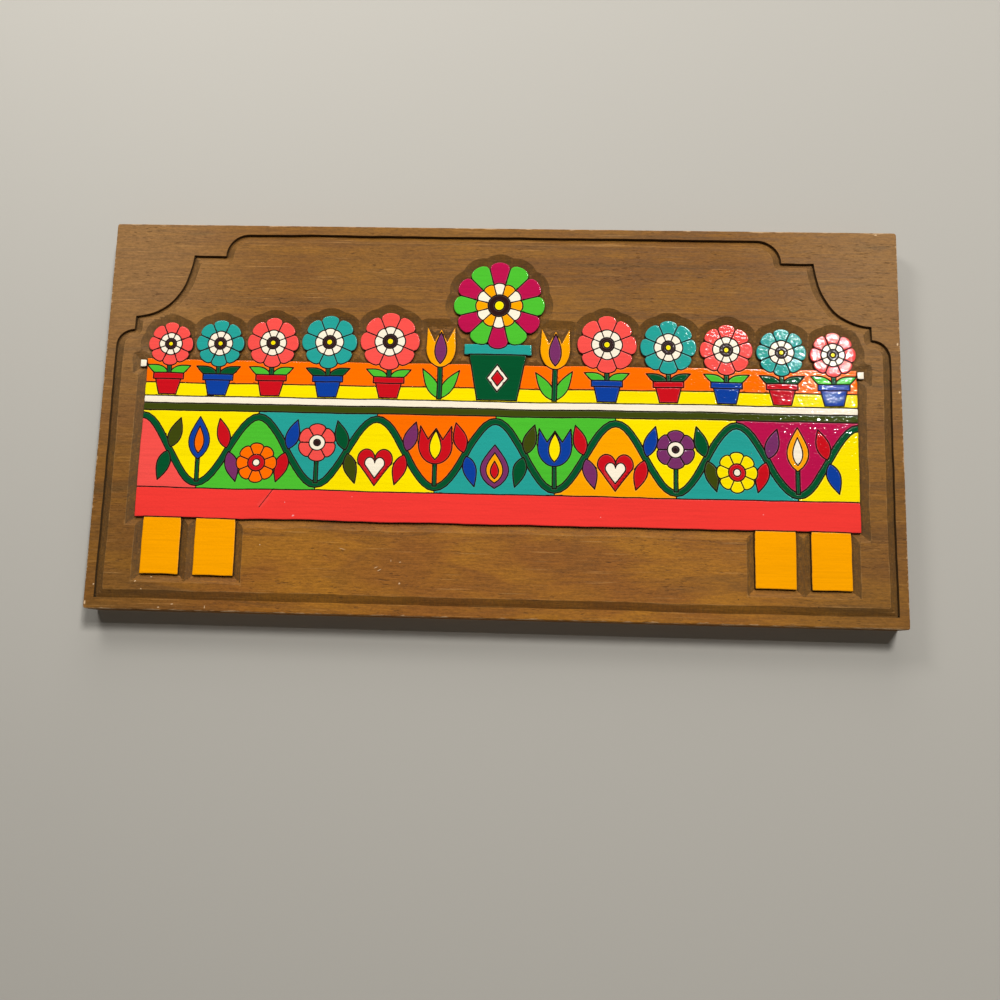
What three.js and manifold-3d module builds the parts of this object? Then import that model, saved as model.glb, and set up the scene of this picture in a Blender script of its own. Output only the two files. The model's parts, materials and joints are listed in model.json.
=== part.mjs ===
// Painted wood plaque: one planed board whose face is carved in low relief.
// An ogee-cornered frame line runs round the face. Inside it stand a long bench on four short feet,
// a row of flowers in pots on top of the bench, and a running vine along its front.
// Millimetres, +X to the viewer's right, +Z up, and the carved face looks towards -Y.
import * as THREE from 'three';
import { mergeVertices } from 'three/addons/utils/BufferGeometryUtils.js';
import Module from 'manifold-3d';

const wasm = await Module();
wasm.setup();

// The board. The origin lies on its flat back, where it hangs on the wall.
const boardWidth = 457;
const boardHeight = 228;
const boardThickness = 18;
const boardCorner = 1.4;
const easedEdge = 0.8;
const hangHeight = 193;

// The cuts: sloped ground beside upright walls, and thin lines between two colours.
const frameDepth = 2.2;
const frameSlope = 4.6;
const troughDepth = 2.2;
const troughSlope = 4.9;
const lineDepth = 0.6;
const lineWidth = 0.7;

// How far a cutter runs out past the face, and how far a block runs into the one it joins.
const clearance = 2;
const overlap = 1;

// The length of one flat side where a disc is faceted.
const discSide = 5;

// The frame line: straight sides, and at each upper corner a small round, a scoop and another round.
const frameMargin = { side: 5.8, top: 5.8, base: 6.5 };
const shoulderRadius = 10;
const shoulderHeight = 152.9;
const scoopBase = 170.8;
const scoopPull = { x: 184.2, y: 173.2 };
const scoopEnd = 180.6;
const browRadius = 13.5;
const browEnd = 162;

// The bench, by the heights of its stripes above the lower edge of the board.
const benchHalf = 203.5;
const footBase = 20.3;
const barBase = 52.6;
const bandBase = 69.6;
const bandTop = 114.7;
const oliveTop = 119;
const creamTop = 123.2;
const railTop = 145;
const feet = [{ inner: 145.2, outer: 168 }, { inner: 176.3, outer: 198 }];
const knob = { length: 3.8, base: 140.2, top: 144.2 };

// The flowers: a great bloom in the middle, and five to each side that shrink towards the ends.
const greatBloom = { height: 180.5, radius: 26.2, petals: 12 };
const bloomsEachSide = 5;
const bloomGap = 2;
const bloomBase = 141;
const bloomPetals = 8;
const largestBloom = 17;
const bloomShrink = 1;
const petalNotch = 0.13;
const innerRing = 0.52;

// The pots stand a little above the cream stripe. Their widths are given from the middle.
const potBase = creamTop + 0.9;
const smallPot = { foot: 5.2, shoulder: 7.4, rim: 8.8, height: 12.6, rimHeight: 3.6 };
const greatPot = { foot: 11.5, shoulder: 16.4, rim: 19.4, height: 32.9, rimHeight: 6 };
const greatPotTop = potBase + greatPot.height;

// A tulip stands on each side of the middle pot, in a round trough of its own.
const tulipPlace = 33;
const tulipBase = 143;
const tulipSize = { width: 17, height: 24 };
const tulipTrough = { height: 15.4, radius: 10.6 };

// The vine: a wave of six periods whose crests all but touch the edges of the band.
const vinePeriods = 6;
const vineWidth = 3.6;
const vineMargin = 1.3;
const vineSteps = 10;
const bandMiddle = (bandBase + bandTop) / 2;
const vineReach = (bandTop - bandBase - vineWidth) / 2 - vineMargin;
const period = 2 * benchHalf / vinePeriods;

// The motifs in the vine's bays. Those that open upwards hang from the band's top, the others stand
// above the bar.
const upperDrop = 28.4;
const lowerLift = 3.4;
const bayTulip = { width: 19, height: 22 };
const bayDaisy = { radius: 11, petals: 6 };
const bayBud = { length: 25, width: 12 };
const barBud = { length: 25, width: 16 };
const barHeart = { width: 20, height: 21 };
const barDaisy = { radius: 11.5, lift: 12, petals: 8 };

const point = (x, y) => new THREE.Vector2(x, y);
const mirrored = (points) => points.map((p) => point(-p.x, p.y)).reverse();

// An arc of an ellipse as points, both ends included, with its angles in degrees.
function arc(x, y, radiusX, radiusY, from, to, steps) {
  const start = THREE.MathUtils.degToRad(from);
  const end = THREE.MathUtils.degToRad(to);
  return new THREE.EllipseCurve(x, y, radiusX, radiusY, start, end, to < from).getPoints(steps);
}

function rectangle(left, base, right, top) {
  return [point(left, base), point(right, base), point(right, top), point(left, top)];
}

function disc(x, y, radius) {
  const sides = 2 * Math.ceil(Math.PI * radius / discSide);
  return arc(x, y, radius, radius, 0, 360, sides).slice(0, sides);
}

// An outline drawn upright at its own foot, and set in its place.
function placed(points, x, y) {
  return points.map((p) => point(p.x + x, p.y + y));
}

// A flower seen from the front: round petals with a notch between each two.
function flower(x, y, radius, petals) {
  const pointsPerPetal = 4;
  const count = petals * pointsPerPetal;
  const points = [];
  for (let i = 0; i < count; i += 1) {
    const angle = Math.PI / 2 + i / count * 2 * Math.PI;
    const swell = Math.sqrt(Math.abs(Math.cos(i / pointsPerPetal * Math.PI)));
    const reach = radius * (1 - petalNotch + petalNotch * swell);
    points.push(point(x + reach * Math.cos(angle), y + reach * Math.sin(angle)));
  }
  return points;
}

// A pointed bud or leaf that grows from its foot, widest a little below its middle.
function leaf({ length, width }) {
  const right = [0.3, 0.65].map((t) => point(width / 2 * Math.sin(Math.PI * t ** 0.8), length * t));
  return [point(0, 0), ...right, point(0, length), ...mirrored(right)];
}

// A tulip: a round cup with three tips and two dips between them.
function tulip({ width, height }) {
  const belly = height * 0.5;
  const sideTip = point(width * 0.47, height);
  const dip = point(width * 0.22, height * 0.64);
  const middleTip = point(0, height * 0.94);
  const right = [...arc(0, belly, width / 2, belly, -90, 0, 3).slice(1), sideTip, dip];
  return [point(0, 0), ...right, middleTip, ...mirrored(right)];
}

// A heart that stands on its point.
function heart({ width, height }) {
  const shoulder = height * 0.72;
  const cleft = point(0, height * 0.74);
  const lobe = arc(width / 4, shoulder, width / 4, height - shoulder, -20, 180, 5).slice(0, -1);
  return [point(0, 0), ...lobe, cleft, ...mirrored(lobe)];
}

// A pot with a straight rim, wider above than below.
function pot({ foot, shoulder, rim, height, rimHeight }) {
  const rimBase = height - rimHeight;
  const right = [point(foot, 0), point(shoulder, rimBase), point(rim, rimBase), point(rim, height)];
  return [...right, ...mirrored(right)];
}

function vineCentre(x) {
  return bandMiddle + vineReach * Math.cos(2 * Math.PI * x / period);
}

// One edge of the vine, a distance off its centre line along the wave's normal.
function vineEdge(offset) {
  const points = [];
  for (let i = 0; i <= vinePeriods * vineSteps; i += 1) {
    const x = -benchHalf + i / vineSteps * period;
    const slope = -vineReach * 2 * Math.PI / period * Math.sin(2 * Math.PI * x / period);
    const normal = point(-slope, 1).normalize();
    points.push(point(x + normal.x * offset, vineCentre(x) + normal.y * offset));
  }
  return points;
}

// A copy of a closed outline, moved sideways by a distance along the corners' bisectors.
function offsetOutline(points, distance) {
  const shortest = 0.5;
  return points.map((p, i) => {
    const before = points.at(i - 1);
    const after = points[(i + 1) % points.length];
    const along = p.clone().sub(before).normalize();
    const onward = after.clone().sub(p).normalize();
    const bisector = point(along.y + onward.y, -along.x - onward.x).normalize();
    const stretch = Math.max(shortest, bisector.dot(point(along.y, -along.x)));
    return p.clone().addScaledVector(bisector, distance / stretch);
  });
}

function solidOf(geometry) {
  geometry.deleteAttribute('normal');
  geometry.deleteAttribute('uv');
  const welded = mergeVertices(geometry, 1e-4);
  const vertProperties = new Float32Array(welded.getAttribute('position').array);
  const triVerts = new Uint32Array(welded.getIndex().array);
  return new wasm.Manifold(new wasm.Mesh({ numProp: 3, vertProperties, triVerts }));
}

// A straight-sided slab of an outline between two depths; the face of the board is at 0.
function slab(shape, from, to) {
  const geometry = new THREE.ExtrudeGeometry(shape, { depth: to - from, bevelEnabled: false });
  return solidOf(geometry.translate(0, 0, from));
}

// A tapered slab: the outline at the bottom of the cut, moved outwards by the slope at the face.
function tapered(shape, depth, slope) {
  return solidOf(new THREE.ExtrudeGeometry(shape, {
    depth: clearance, bevelThickness: depth, bevelSize: slope, bevelSegments: 1,
  }));
}

const union = (solids) => solids.reduce((all, one) => all.add(one));
const figureSlab = (outline) => slab(new THREE.Shape(outline), -troughDepth - overlap, 0);
const trough = (outline) => tapered(new THREE.Shape(outline), troughDepth, troughSlope);

// The thin line round a figure, half inside its outline and half outside.
function outlineCut(outline) {
  const shape = new THREE.Shape(offsetOutline(outline, lineWidth / 2));
  shape.holes.push(new THREE.Path(offsetOutline(outline, -lineWidth / 2)));
  return slab(shape, -lineDepth, clearance);
}

// The ogee-cornered line that frames the face.
function frameOutline() {
  const side = boardWidth / 2 - frameMargin.side;
  const inner = side - shoulderRadius;
  const browHeight = boardHeight - frameMargin.top - browRadius;
  const scoop = new THREE.QuadraticBezierCurve(point(inner, scoopBase), point(scoopPull.x, scoopPull.y),
    point(scoopEnd, browHeight));
  const right = [
    point(side, frameMargin.base),
    ...arc(inner, shoulderHeight, shoulderRadius, shoulderRadius, 0, 90, 6),
    ...scoop.getPoints(14),
    ...arc(browEnd - browRadius, browHeight, browRadius, browRadius, 0, 90, 7),
  ];
  return new THREE.Shape([...right, ...mirrored(right)]);
}

function blank() {
  const half = boardWidth / 2 - easedEdge;
  const radius = boardCorner - easedEdge;
  const right = [
    ...arc(half - radius, easedEdge + radius, radius, radius, -90, 0, 3),
    ...arc(half - radius, boardHeight - easedEdge - radius, radius, radius, 0, 90, 3),
  ];
  const geometry = new THREE.ExtrudeGeometry(new THREE.Shape([...right, ...mirrored(right)]), {
    depth: boardThickness - 2 * easedEdge, bevelThickness: easedEdge, bevelSize: easedEdge, bevelSegments: 2,
  });
  return solidOf(geometry.translate(0, 0, easedEdge - boardThickness));
}

// The ground inside the frame line, less the block that rises from it to the face.
function frameCut() {
  const outline = frameOutline();
  return slab(outline, -frameDepth, clearance / 2).subtract(tapered(outline, frameDepth, -frameSlope));
}

// The places and sizes of the small blooms to the right of the middle, largest first.
function sideBlooms() {
  const places = [];
  let outer = benchHalf;
  for (let i = bloomsEachSide - 1; i >= 0; i -= 1) {
    const radius = largestBloom - i * bloomShrink;
    places.unshift({ x: outer - radius, y: bloomBase + radius, radius });
    outer -= 2 * radius + bloomGap;
  }
  return places;
}

// The same on both sides of the middle.
const bothSides = (draw) => sideBlooms().flatMap(({ x, y, radius }) => [
  draw(x, y, radius), draw(-x, y, radius)]);

// The bench and its feet, as the plain blocks that the flowers and the vine are cut into.
function benchBlocks() {
  const blocks = [rectangle(-benchHalf, barBase, benchHalf, railTop)];
  for (const { inner, outer } of feet) {
    const foot = rectangle(inner, footBase, outer, barBase + overlap);
    blocks.push(foot, mirrored(foot));
  }
  const endKnob = rectangle(benchHalf - overlap, knob.base, benchHalf + knob.length, knob.top);
  blocks.push(endKnob, mirrored(endKnob));
  return blocks;
}

const greatPotOutline = () => placed(pot(greatPot), 0, potBase);
const greatBloomOutline = () => flower(0, greatBloom.height, greatBloom.radius, greatBloom.petals);
const smallBlooms = () => bothSides((x, y, radius) => flower(x, y, radius, bloomPetals));
const tulips = () => [-1, 1].map((side) => placed(tulip(tulipSize), side * tulipPlace, tulipBase));

// The motifs of the band, one in each bay of the vine, by the bay's number from the middle.
function bandMotifs() {
  const hangingDaisy = flower(0, bayDaisy.radius, bayDaisy.radius, bayDaisy.petals);
  const standingDaisy = flower(0, barDaisy.lift, barDaisy.radius, barDaisy.petals);
  const above = { 1: tulip(bayTulip), 3: hangingDaisy, 5: leaf(bayBud) };
  const below = { 0: leaf(barBud), 2: heart(barHeart), 4: standingDaisy };
  const motifs = [];
  for (let bay = 1 - vinePeriods; bay < vinePeriods; bay += 1) {
    const x = bay * period / 2;
    const kind = Math.abs(bay);
    const opensUp = bay % 2 !== 0;
    const foot = opensUp ? bandTop - upperDrop : bandBase + lowerLift;
    motifs.push(placed((opensUp ? above : below)[kind], x, foot));
  }
  return motifs;
}

// The part of some outlines' cuts that lies between two heights.
function cutBetween(outlines, base, top) {
  const reach = benchHalf + clearance;
  const window = slab(new THREE.Shape(rectangle(-reach, base, reach, top)), -clearance, 2 * clearance);
  return union(outlines.map(outlineCut)).intersect(window);
}

// A level cut between two heights' colours, run out past both of its ends.
function levelLine(left, right, height) {
  return rectangle(left - overlap, height - lineWidth / 2, right + overlap, height + lineWidth / 2);
}

// Thin cuts between two colours.
function colourLines() {
  const stripes = [bandBase, bandTop, oliveTop, creamTop];
  const straight = stripes.map((height) => levelLine(-benchHalf, benchHalf, height));
  for (const { inner, outer } of feet) {
    straight.push(levelLine(inner, outer, barBase), levelLine(-outer, -inner, barBase));
  }
  const vine = [-vineWidth / 2, vineWidth / 2].map((edge) => [
    ...vineEdge(edge - lineWidth / 2), ...vineEdge(edge + lineWidth / 2).reverse()]);
  const smallPots = bothSides((x) => placed(pot(smallPot), x, potBase));
  const rings = bothSides((x, y, radius) => disc(x, y, radius * innerRing));
  rings.push(disc(0, greatBloom.height, greatBloom.radius * innerRing));
  return union([
    ...[...straight, ...vine].map((outline) => slab(new THREE.Shape(outline), -lineDepth, clearance)),
    ...[...bandMotifs(), ...smallPots, ...rings].map(outlineCut),
    cutBetween([greatPotOutline()], potBase - overlap, railTop),
    cutBetween(smallBlooms(), potBase, railTop + lineDepth),
    cutBetween([greatBloomOutline()], railTop, greatPotTop + lineDepth),
  ]);
}

function carvedBoard() {
  const blocks = benchBlocks();
  const tulipMiddle = tulipBase + tulipTrough.height;
  const cuts = [
    ...blocks.map(trough),
    ...bothSides((x, y, radius) => trough(disc(x, y, radius))),
    trough(disc(0, greatBloom.height, greatBloom.radius)),
    trough(rectangle(-greatPot.rim, railTop - overlap, greatPot.rim, greatPotTop)),
    ...[-1, 1].map((side) => trough(disc(side * tulipPlace, tulipMiddle, tulipTrough.radius))),
  ];
  const figures = [...blocks, greatPotOutline(), greatBloomOutline(), ...smallBlooms(), ...tulips()];
  const raised = union(figures.map(figureSlab));
  const board = blank().subtract(frameCut()).subtract(union(cuts)).add(raised).subtract(colourLines());
  return board.asOriginal().simplify(1e-3);
}

// The solid as three.js geometry, with flat faces.
function geometryOf(solid) {
  const { vertProperties, triVerts } = solid.getMesh();
  const geometry = new THREE.BufferGeometry();
  geometry.setAttribute('position', new THREE.BufferAttribute(vertProperties, 3));
  geometry.setIndex(new THREE.BufferAttribute(triVerts, 1));
  return geometry;
}

// The relief is painted in gloss enamel; the board around it is stained a warm brown.
const stainedWood = new THREE.MeshStandardMaterial({ color: 0x8a5a2b, roughness: 0.55, metalness: 0 });

const board = new THREE.Mesh(geometryOf(carvedBoard()), stainedWood);
board.name = 'carved_board';
board.rotation.x = Math.PI / 2;
board.position.set(0, -boardThickness, -hangHeight);

const plaque = new THREE.Group();
plaque.add(board);

export default plaque;
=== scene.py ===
# %% [markdown]
# # A painted wood plaque
#
# The object is one planed softwood board, about as long as a forearm. A carver has cut an
# ogee-cornered frame line round its face and a low relief inside it: potted flowers on a long
# bench, with a running vine along the front. The relief is painted in gloss enamel, and the
# board around it is stained brown.
#
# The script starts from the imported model, whose box gives every size that follows. Lengths are
# in millimetres while we draw, because that is how the board was measured, and each finished
# mesh is then brought into Blender's metres by one matrix.

# %% Load the frame
import json
from collections import defaultdict
from math import asin, atan2, ceil, cos, degrees, dist, hypot, pi, radians, sin, sqrt

import bmesh
import bpy
import numpy as np
from mathutils import Matrix, Vector, noise
from mathutils.bvhtree import BVHTree
from mathutils.geometry import delaunay_2d_cdt


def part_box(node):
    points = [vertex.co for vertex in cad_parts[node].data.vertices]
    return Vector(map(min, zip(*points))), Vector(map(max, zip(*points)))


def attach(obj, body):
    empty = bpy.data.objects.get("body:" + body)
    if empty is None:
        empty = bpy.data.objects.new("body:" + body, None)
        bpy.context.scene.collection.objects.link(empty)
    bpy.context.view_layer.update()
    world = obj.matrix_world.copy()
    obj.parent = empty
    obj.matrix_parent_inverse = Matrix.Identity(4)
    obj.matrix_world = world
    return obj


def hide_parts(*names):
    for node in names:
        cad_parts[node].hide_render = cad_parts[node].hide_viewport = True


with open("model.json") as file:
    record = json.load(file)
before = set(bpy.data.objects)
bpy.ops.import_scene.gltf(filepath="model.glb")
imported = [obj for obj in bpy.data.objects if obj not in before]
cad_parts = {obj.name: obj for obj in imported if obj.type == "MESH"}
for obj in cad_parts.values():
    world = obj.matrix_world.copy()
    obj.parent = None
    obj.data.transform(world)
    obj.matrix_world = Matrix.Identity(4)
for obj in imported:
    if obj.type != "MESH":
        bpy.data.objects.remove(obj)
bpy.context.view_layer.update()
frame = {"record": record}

MM = 0.001
board_low, board_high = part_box("carved_board")
BOARD_HALF = board_high.x / MM
BOARD_HEIGHT = (board_high.z - board_low.z) / MM
BOARD_DEPTH = (board_high.y - board_low.y) / MM
print(f"board {2 * BOARD_HALF:.0f} x {BOARD_HEIGHT:.0f} x {BOARD_DEPTH:.0f} mm")

# %% [markdown]
# ## The camera
#
# The photographer stood a little to the right of the plaque's middle and looked up at it from
# below. Its four corners in the picture give the place and the tilt. The lens is as long as the
# sensor is wide, which is a normal phone view. The camera is made first, so that every later
# step can be looked at.

# %% Camera
CAMERA_PLACE = Vector((24.4, -571.6, -214.5)) * MM
CAMERA_AHEAD = Vector((-0.0371, 0.9869, 0.1569)).normalized()
CAMERA_UP = Vector((-0.0222, -0.1578, 0.9872))

lens = bpy.data.cameras.new("camera")
lens.lens = lens.sensor_width = 36.0
camera = bpy.data.objects.new("camera", lens)
side = CAMERA_AHEAD.cross(CAMERA_UP).normalized()
turn = Matrix((side, side.cross(CAMERA_AHEAD), -CAMERA_AHEAD)).transposed()
camera.matrix_world = Matrix.Translation(CAMERA_PLACE) @ turn.to_4x4()
bpy.context.scene.collection.objects.link(camera)
bpy.context.scene.camera = camera
print("camera stands", round(-camera.location.y, 3), "m in front of the wall")

# %% [markdown]
# ## The workbench
#
# A carver works on the board lying flat, so we do too: x runs along the board from its middle,
# y up from its lower edge, and z stands out of the face, with the planed face at 0. The matrix
# below then stands the finished work up against the wall.

# %% Bench to wall
FROM_BENCH = Matrix.Translation((0, board_low.y, board_low.z)) @ Matrix.Rotation(pi / 2, 4, "X") \
    @ Matrix.Scale(MM, 4)

# %% [markdown]
# ## Drawing outlines
#
# Every figure is an outline: a list of points worked out from a few sizes. An arc, a rectangle
# and a mirror are enough for pots, tulips, hearts and leaves. A petal is a sector of a circle
# whose outer edge swells between two notches.

# %% Plain outlines
def arc(x, y, wide, tall, start, end, steps):
    """Points along an arc of an ellipse, both ends included, with its angles in degrees."""
    turns = [radians(start + (end - start) * i / steps) for i in range(steps + 1)]
    return [(x + wide * cos(t), y + tall * sin(t)) for t in turns]


def bend(start, corner, end, steps):
    """Points along a curve that leaves its start towards the corner and comes from there to its end."""
    points = []
    for share in (i / steps for i in range(steps + 1)):
        a, b, c = (1 - share) ** 2, 2 * share * (1 - share), share ** 2
        points.append(tuple(a * p + b * q + c * r for p, q, r in zip(start, corner, end)))
    return points


def mirrored(points):
    return [(-x, y) for x, y in reversed(points)]


def rectangle(left, base, right, top):
    return [(left, base), (right, base), (right, top), (left, top)]


def disc(x, y, radius, sides=36):
    return arc(x, y, radius, radius, 0, 360, sides)[:-1]


def placed(points, x, y, lean=0):
    """An outline drawn upright at its own foot, leaned over and set in its place."""
    turned = Matrix.Rotation(-radians(lean), 2)
    return [(x + p.x, y + p.y) for p in (turned @ Vector(q) for q in points)]


# %% Leaves, tulips, hearts and pots
def leaf(length, width, steps=10):
    right = [(width / 2 * sin(pi * (i / steps) ** 0.8), length * i / steps) for i in range(1, steps)]
    return [(0, 0), *right, (0, length), *mirrored(right)]


def tulip(width, height):
    cup = arc(0, height * 0.5, width / 2, height * 0.5, -90, 0, 9)
    right = [*cup[1:], (width * 0.47, height), (width * 0.22, height * 0.64)]
    return [(0, 0), *right, (0, height * 0.94), *mirrored(right)]


def heart(width, height):
    lobe = arc(width / 4, height * 0.72, width / 4, height * 0.28, -20, 180, 12)[:-1]
    return [(0, 0), *lobe, (0, height * 0.74), *mirrored(lobe)]


def tapered_pot(base_half, top_half, height):
    return [(base_half, 0), (top_half, height), (-top_half, height), (-base_half, 0)]


def petal(x, y, radius, petals, index, notch, steps=8):
    """One petal of a flower, from the flower's middle to its swollen outer edge."""
    points = [(x, y)]
    for i in range(steps + 1):
        share = index - 0.5 + i / steps
        angle = pi / 2 + share / petals * 2 * pi
        reach = radius * (1 - notch + notch * sqrt(abs(cos(share * pi))))
        points.append((x + reach * cos(angle), y + reach * sin(angle)))
    return points


# %% [markdown]
# ## The picture
#
# The painter fills one figure after another, and a later one covers an earlier one. We do the
# same: `paint` adds an enamel and an outline to a list, and the order of the list is the order
# of the layers. Nothing is cut out by hand.

# %% Start the picture
picture = []


def paint(enamel, outline):
    picture.append((enamel, outline))


BENCH_HALF = 203.5
FOOT_BASE = 20.3
BAR_BASE = 52.6
BAND_BASE = 69.6
BAND_TOP = 114.7
OLIVE_TOP = 119.0
CREAM_TOP = 123.2
PANEL_TOP = 131.0
RAIL_TOP = 145.0
FEET = ((145.2, 168.0), (176.3, 198.0))
KNOB_LENGTH = 3.8
KNOB_BASE = 140.2
KNOB_TOP = 144.2

paint("cream", rectangle(-BENCH_HALF - KNOB_LENGTH, KNOB_BASE, BENCH_HALF + KNOB_LENGTH, KNOB_TOP))
paint("orange", rectangle(-BENCH_HALF, PANEL_TOP, BENCH_HALF, RAIL_TOP))
paint("yellow", rectangle(-BENCH_HALF, CREAM_TOP, BENCH_HALF, PANEL_TOP))

# %% [markdown]
# ## The row of flowers
#
# Five blooms stand on each side. They shrink by a millimetre from one to the next and are set
# from the bench's end inwards, so the row always ends flush with the bench. Stem and leaves come
# first, then the pot over the stem, then the bloom over the leaves.

# %% Pots and stems of the side blooms
POT_BASE = CREAM_TOP + 0.9
POT_HEIGHT = 9.0
POT_RIM = (8.8, 3.6)
BLOOM_BASE = 141.0
LARGEST_BLOOM = 17.0
BLOOM_GAP = 2.0
NOTCH = 0.13

side_blooms = []
outer_end = BENCH_HALF
for shrink in (4, 3, 2, 1, 0):
    size = LARGEST_BLOOM - shrink
    side_blooms.insert(0, (outer_end - size, BLOOM_BASE + size, size))
    outer_end -= 2 * size + BLOOM_GAP

for hand in (-1, 1):
    for i, (x, y, size) in enumerate(side_blooms):
        for lean in (-66, 66):
            paint(("light_green", "deep_green")[i % 2], placed(leaf(14, 5.6), hand * x, 135.5, lean))
        paint("deep_green", rectangle(hand * x - 1.2, 136, hand * x + 1.2, y))
        glaze = ("red", "blue")[(i + (hand > 0)) % 2]
        paint(glaze, placed(tapered_pot(5.2, 7.4, POT_HEIGHT), hand * x, POT_BASE))
        rim_base = POT_BASE + POT_HEIGHT
        paint(glaze, rectangle(hand * x - POT_RIM[0], rim_base, hand * x + POT_RIM[0], rim_base + POT_RIM[1]))
print(2 * len(side_blooms), "pots")

# %% [markdown]
# ## The middle of the row
#
# A tall pot with a great bloom stands in the middle, between two tulips that grow straight from
# the bench.

# %% Tulips and the great pot
TULIP_PLACE = 33.0
TULIP_BASE = 143.0
GREAT_POT_SHOULDER = 151.0
GREAT_POT_TOP = 157.0
GREAT_RIM = 19.4

for hand in (-1, 1):
    for lean in (-34, 30):
        paint("light_green", placed(leaf(20, 6.5), hand * TULIP_PLACE, POT_BASE + 0.4, hand * lean))
    paint("deep_green", rectangle(hand * TULIP_PLACE - 1.3, POT_BASE, hand * TULIP_PLACE + 1.3, TULIP_BASE + 3))
    paint("amber", placed(tulip(17, 24), hand * TULIP_PLACE, TULIP_BASE))
    paint("purple", placed(leaf(19, 7), hand * TULIP_PLACE, TULIP_BASE + 2))

paint("deep_green", placed(tapered_pot(11.5, 16.4, GREAT_POT_SHOULDER - POT_BASE), 0, POT_BASE))
paint("teal", rectangle(-GREAT_RIM, GREAT_POT_SHOULDER, GREAT_RIM, GREAT_POT_TOP))
for enamel, wide, tall in (("cream", 6, 8), ("red", 3.4, 4.6)):
    paint(enamel, placed([(0, -tall), (wide, 0), (0, tall), (-wide, 0)], 0, 137))

# %% [markdown]
# ## The blooms
#
# All the blooms are the same figure at other sizes: a ring of outer petals, a smaller ring over
# it, a dark heart and a yellow dot.

# %% Blooms
def bloom(x, y, radius, petals, outer, inner):
    for k in range(petals):
        paint(outer[k % len(outer)], petal(x, y, radius, petals, k, NOTCH))
    for k in range(petals):
        paint(inner[k % len(inner)], petal(x, y, radius * 0.52, petals, k, NOTCH / 2, 5))
    paint("brown", disc(x, y, radius * 0.25, 24))
    paint("yellow", disc(x, y, radius * 0.11, 16))


for hand in (-1, 1):
    for i, (x, y, size) in enumerate(side_blooms):
        bloom(hand * x, y, size, 8, [("coral", "teal")[i % 2]], ["cream"])
bloom(0, 180.5, 26.2, 12, ["magenta", "light_green"], ["cream", "amber"])

# %% [markdown]
# ## The front of the bench
#
# Two stripes cap the bench. Under them a vine runs in six even waves, which part the band into
# bays. Each bay is filled from the band's edge to the vine's middle line, and the vine is laid
# over the seam.

# %% Stripes, bays and vine
WAVES = 6
VINE_WIDTH = 3.6
BAND_MIDDLE = (BAND_BASE + BAND_TOP) / 2
VINE_REACH = (BAND_TOP - BAND_BASE) / 2 - VINE_WIDTH / 2 - 1.3
PERIOD = 2 * BENCH_HALF / WAVES
UPPER_BAYS = {-5: "yellow", -3: "teal", -1: "orange", 1: "light_green", 3: "yellow", 5: "magenta"}
LOWER_BAYS = {-6: "coral", -4: "light_green", -2: "yellow", 0: "teal", 2: "amber", 4: "teal", 6: "yellow"}


def vine_middle(x):
    return BAND_MIDDLE + VINE_REACH * cos(2 * pi * x / PERIOD)


def vine_side(offset, steps=24):
    """One edge of the vine, a set distance off its middle line."""
    points = []
    for i in range(WAVES * steps + 1):
        x = -BENCH_HALF + i / steps * PERIOD
        slope = -VINE_REACH * 2 * pi / PERIOD * sin(2 * pi * x / PERIOD)
        points.append((x - slope * offset / hypot(slope, 1), vine_middle(x) + offset / hypot(slope, 1)))
    return points


paint("cream", rectangle(-BENCH_HALF, OLIVE_TOP, BENCH_HALF, CREAM_TOP))
paint("olive", rectangle(-BENCH_HALF, BAND_TOP, BENCH_HALF, OLIVE_TOP))
for bay, enamel in {**UPPER_BAYS, **LOWER_BAYS}.items():
    left = max((bay - 1) * PERIOD / 2, -BENCH_HALF)
    right = min((bay + 1) * PERIOD / 2, BENCH_HALF)
    edge = BAND_TOP if bay % 2 else BAND_BASE
    seam = [(x, vine_middle(x)) for x in np.linspace(right, left, 25).tolist()]
    paint(enamel, [(left, edge), (right, edge), *seam])
paint("deep_green", vine_side(-VINE_WIDTH / 2) + vine_side(VINE_WIDTH / 2)[::-1])

# %% [markdown]
# ## Leaves and motifs on the vine
#
# A pair of leaves grows where the vine crosses the middle of the band. Each bay then gets its
# own small motif: a tulip, a daisy, a bud or a heart, in mirrored places and changing colours.

# %% Leaves
LEAF_ENAMELS = ("olive", "red", "blue", "deep_green", "purple", "red")
for crossing in range(2 * WAVES):
    x = (crossing + 0.5) * PERIOD / 2 - BENCH_HALF
    away = 1 if crossing % 2 else -1
    above, below = LEAF_ENAMELS[crossing % 6], LEAF_ENAMELS[(crossing + 3) % 6]
    paint(above, placed(leaf(18, 7.5), x - away * 0.6, BAND_MIDDLE + 1, -away * 16))
    paint(below, placed(leaf(18, 7.5), x + away * 0.6, BAND_MIDDLE - 1, 180 - away * 16))


# %% Motifs
def daisy(x, y, radius, petals, enamels):
    for k in range(petals):
        paint(enamels[0], petal(x, y, radius, petals, k, NOTCH))
    paint(enamels[1], disc(x, y, radius * 0.42, 20))
    paint(enamels[2], disc(x, y, radius * 0.18, 14))


def upper_motif(x, kind, left):
    """What stands on a stem in a bay that opens upwards."""
    foot = BAND_TOP - 28.4
    paint("deep_green", rectangle(x - 1.1, BAND_BASE + 4, x + 1.1, foot + 2))
    if kind == 1:
        paint("red" if left else "blue", placed(tulip(19, 22), x, foot))
        paint("yellow", placed(leaf(17, 6.5), x, foot + 2.5))
    elif kind == 3:
        daisy(x, foot + 11, 11, 6, ("coral" if left else "purple", "cream", "brown"))
    else:
        paint("blue" if left else "amber", placed(leaf(25, 12), x, foot))
        paint("orange" if left else "cream", placed(leaf(16, 5.5), x, foot + 3.5))


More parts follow.
